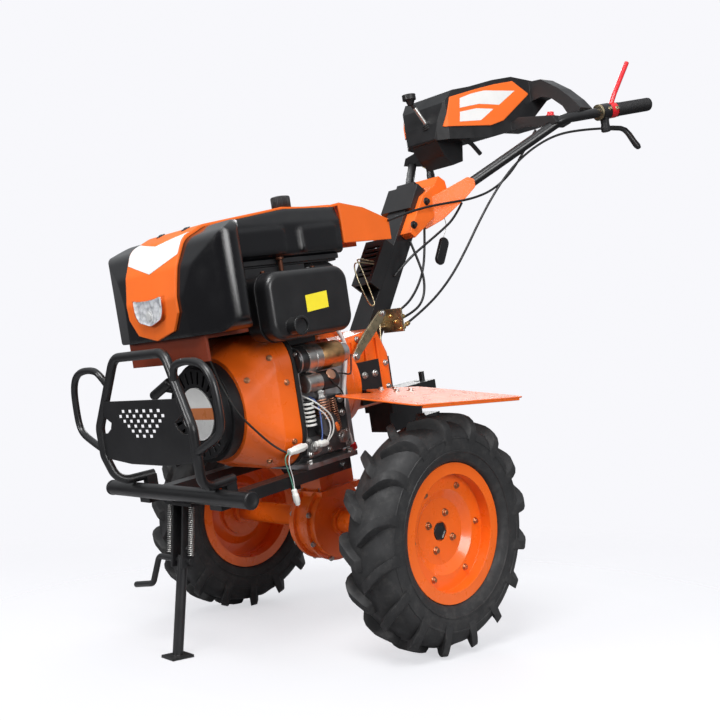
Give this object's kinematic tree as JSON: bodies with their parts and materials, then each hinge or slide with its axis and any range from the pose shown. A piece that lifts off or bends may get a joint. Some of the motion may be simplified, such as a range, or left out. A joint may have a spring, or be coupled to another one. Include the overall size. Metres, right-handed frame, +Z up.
{
  "type": "walk-behind power weeder",
  "caption": "Two-wheeled walk-behind power weeder with a front diesel engine, orange tank cover and fenders, lugged tyres, tall splayed handlebars and a folding front stand.",
  "frame": {"origin": "on the ground, in the middle of the machine's length and width as it stands on its wheels and front stand", "axes": "+X forward, +Y to the machine's left along the wheel axle, +Z up"},
  "size_m": [1.3272, 0.7866, 1.3862],
  "materials": {
    "black_paint": "satin black paint",
    "black_plastic": "moulded black plastic",
    "engine_alloy": "cast aluminium",
    "grip_rubber": "ribbed rubber",
    "lens": "clear lamp lens",
    "orange_paint": "gloss orange paint",
    "orange_plastic": "gloss orange plastic",
    "red_plastic": "red plastic",
    "rubber_tyre": "matt black rubber",
    "tank_black": "gloss black",
    "white_disc": "white plastic",
    "white_hose": "white hose",
    "zinc_steel": "zinc plated steel"
  },
  "bodies": {
    "wheel_left": {"tyre_left": "rubber_tyre", "rim_left": "orange_paint", "hub_left": "orange_paint", "axle_left": "zinc_steel"},
    "wheel_right": {"tyre_right": "rubber_tyre", "rim_right": "orange_paint", "hub_right": "orange_paint", "axle_right": "zinc_steel"},
    "stand": {"stand_leg": "black_paint"},
    "chassis": {"final_drive": "orange_paint", "gearbox": "orange_paint", "engine_block": "engine_alloy", "blower_housing": "orange_paint", "recoil_starter": "black_plastic", "recoil_disc": "white_disc", "cylinder_shroud": "black_paint", "muffler": "black_paint", "air_cleaner": "black_plastic", "starter_motor": "engine_alloy", "injection_pump": "engine_alloy", "fuel_tank": "tank_black", "tank_cover": "orange_plastic", "headlamp": "lens", "fuel_cap": "black_plastic", "tank_support": "black_paint", "rail_left": "black_paint", "rail_right": "black_paint", "rail_tie": "black_paint", "crossbar": "black_paint", "bumper_hoop": "black_paint", "bumper_wings": "black_paint", "bumper_plate": "black_paint", "column": "black_paint", "column_cover": "orange_plastic", "slotted_plate": "black_paint", "console": "black_plastic", "gear_lever": "black_plastic", "engage_lever": "red_plastic", "throttle_lever": "black_plastic", "hitch": "black_paint", "handlebar_left": "black_paint", "handlebar_right": "black_paint", "grip_left": "grip_rubber", "grip_right": "grip_rubber", "hand_lever_left": "black_paint", "hand_lever_right": "black_paint", "fender_left": "orange_paint", "fender_right": "orange_paint", "fender_bracket_left": "black_paint", "fender_bracket_right": "black_paint", "stand_bracket": "black_paint", "stand_springs": "zinc_steel", "console_panel": "orange_plastic", "shift_linkage": "zinc_steel", "clutch_cable": "black_plastic", "throttle_cable": "black_plastic", "key_wire": "black_plastic", "shift_cable": "black_plastic", "brake_cable": "black_plastic", "breather_hose": "white_hose"}
  },
  "joints": [
    {"name": "wheel_left_spin", "type": "hinge", "parent": "chassis", "child": "wheel_left", "pos_m": [0.16876, 0.32, 0.23], "axis": [0, 1, 0], "continuous": true},
    {"name": "wheel_right_spin", "type": "hinge", "parent": "chassis", "child": "wheel_right", "pos_m": [0.16876, -0.32, 0.23], "axis": [0, 1, 0], "continuous": true},
    {"name": "stand_fold", "type": "hinge", "parent": "chassis", "child": "stand", "pos_m": [0.54172, 0, 0.17897], "axis": [0, 1, 0], "range_deg": [0, 80]}
  ]
}
